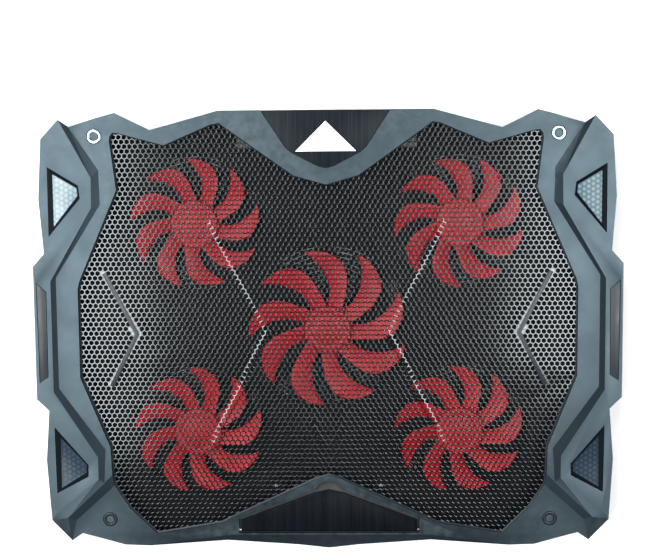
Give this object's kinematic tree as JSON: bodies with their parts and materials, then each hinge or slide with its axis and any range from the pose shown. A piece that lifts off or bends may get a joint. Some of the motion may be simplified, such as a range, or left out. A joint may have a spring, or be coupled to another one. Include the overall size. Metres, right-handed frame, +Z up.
{
  "type": "laptop cooling pad",
  "caption": "Flat faceted cooling pad for a laptop, with red fans under a steel mesh, a flip-up front stop, fold-out rear legs and sockets in its rear edge.",
  "frame": {"origin": "on the desk, under the middle of the pad's overall box", "axes": "+X to the right, along the longest side; +Y to the rear edge with the sockets; +Z up"},
  "size_m": [0.41, 0.3099, 0.0289],
  "materials": {
    "frame": "matte blue-grey moulded plastic",
    "tray": "fine-grained black moulded plastic",
    "mesh": "gloss black paint on perforated steel",
    "rotor": "red moulded plastic",
    "steel": "turned and plated steel",
    "motor": "black moulded plastic over the motor's windings",
    "bronze": "sintered bronze",
    "rear_window": "pale translucent plastic with a honeycomb pattern",
    "front_window": "dark translucent plastic with a honeycomb pattern",
    "strip": "dark moulded plastic",
    "ring": "polished metal ring",
    "leg": "black moulded plastic",
    "rubber": "matte black rubber",
    "badge": "brushed dark panel",
    "plate": "white, with no lettering",
    "flap": "brushed near-black panel",
    "board": "green circuit board",
    "socket": "plated steel shell",
    "rocker": "black moulded plastic"
  },
  "bodies": {
    "pad": {"top_frame": "frame", "bottom_shell": "tray", "mesh_panel": "mesh", "fan_motor_rear_left": "motor", "fan_sleeve_rear_left": "bronze", "fan_motor_rear_right": "motor", "fan_sleeve_rear_right": "bronze", "fan_motor_front_left": "motor", "fan_sleeve_front_left": "bronze", "fan_motor_front_right": "motor", "fan_sleeve_front_right": "bronze", "fan_motor_centre": "motor", "fan_sleeve_centre": "bronze", "rear_window_left": "rear_window", "front_window_left": "front_window", "side_strip_left": "strip", "corner_ring_rear_left": "ring", "corner_ring_front_left": "ring", "rear_leg_pin_left": "steel", "mesh_rivet_left": "steel", "rear_window_right": "rear_window", "front_window_right": "front_window", "side_strip_right": "strip", "corner_ring_rear_right": "ring", "corner_ring_front_right": "ring", "rear_leg_pin_right": "steel", "mesh_rivet_right": "steel", "badge_panel": "badge", "badge_plate": "plate", "stop_hinge_pin": "steel", "foot_rear_left": "rubber", "foot_rear_right": "rubber", "foot_front_left": "rubber", "foot_front_right": "rubber", "casing_screw_rear_left": "steel", "casing_screw_rear_right": "steel", "casing_screw_front_left": "steel", "casing_screw_front_right": "steel", "casing_screw_side_left": "steel", "casing_screw_side_right": "steel", "hub_board": "board", "usb_socket_inner": "socket", "usb_socket_outer": "socket"},
    "rear_left_fan": {"fan_rotor_rear_left": "rotor", "fan_shaft_rear_left": "steel"},
    "rear_right_fan": {"fan_rotor_rear_right": "rotor", "fan_shaft_rear_right": "steel"},
    "front_left_fan": {"fan_rotor_front_left": "rotor", "fan_shaft_front_left": "steel"},
    "front_right_fan": {"fan_rotor_front_right": "rotor", "fan_shaft_front_right": "steel"},
    "centre_fan": {"fan_rotor_centre": "rotor", "fan_shaft_centre": "steel"},
    "flap": {"stop_flap": "flap"},
    "leg_left": {"rear_leg_left": "leg", "rear_leg_tip_left": "rubber"},
    "leg_right": {"rear_leg_right": "leg", "rear_leg_tip_right": "rubber"},
    "switch_inner": {"fan_switch_inner": "rocker"},
    "switch_outer": {"fan_switch_outer": "rocker"}
  },
  "joints": [
    {"name": "rear_left_fan_spin", "type": "hinge", "parent": "pad", "child": "rear_left_fan", "pos_m": [-0.0925, 0.076, 0.0136], "axis": [0, 0, 1], "continuous": true},
    {"name": "rear_right_fan_spin", "type": "hinge", "parent": "pad", "child": "rear_right_fan", "pos_m": [0.0925, 0.076, 0.0136], "axis": [0, 0, 1], "continuous": true},
    {"name": "front_left_fan_spin", "type": "hinge", "parent": "pad", "child": "front_left_fan", "pos_m": [-0.0925, -0.0715, 0.0136], "axis": [0, 0, 1], "continuous": true},
    {"name": "front_right_fan_spin", "type": "hinge", "parent": "pad", "child": "front_right_fan", "pos_m": [0.0925, -0.0715, 0.0136], "axis": [0, 0, 1], "continuous": true},
    {"name": "centre_fan_spin", "type": "hinge", "parent": "pad", "child": "centre_fan", "pos_m": [0, 0.0015, 0.0136], "axis": [0, 0, 1], "continuous": true},
    {"name": "stop_flap_hinge", "type": "hinge", "parent": "pad", "child": "flap", "pos_m": [0, -0.141, 0.0244], "axis": [1, 0, 0], "range_deg": [0, 90]},
    {"name": "rear_leg_left_fold", "type": "hinge", "parent": "pad", "child": "leg_left", "pos_m": [-0.171, 0.126, 0.0059], "axis": [1, 0, 0], "range_deg": [0, 95]},
    {"name": "rear_leg_right_fold", "type": "hinge", "parent": "pad", "child": "leg_right", "pos_m": [0.171, 0.126, 0.0059], "axis": [1, 0, 0], "range_deg": [0, 95]},
    {"name": "fan_switch_inner_rock", "type": "hinge", "parent": "pad", "child": "switch_inner", "pos_m": [-0.034, 0.1476, 0.0105], "axis": [0, 0, 1], "range_deg": [0, 14]},
    {"name": "fan_switch_outer_rock", "type": "hinge", "parent": "pad", "child": "switch_outer", "pos_m": [-0.054, 0.1476, 0.0105], "axis": [0, 0, 1], "range_deg": [0, 14]}
  ]
}
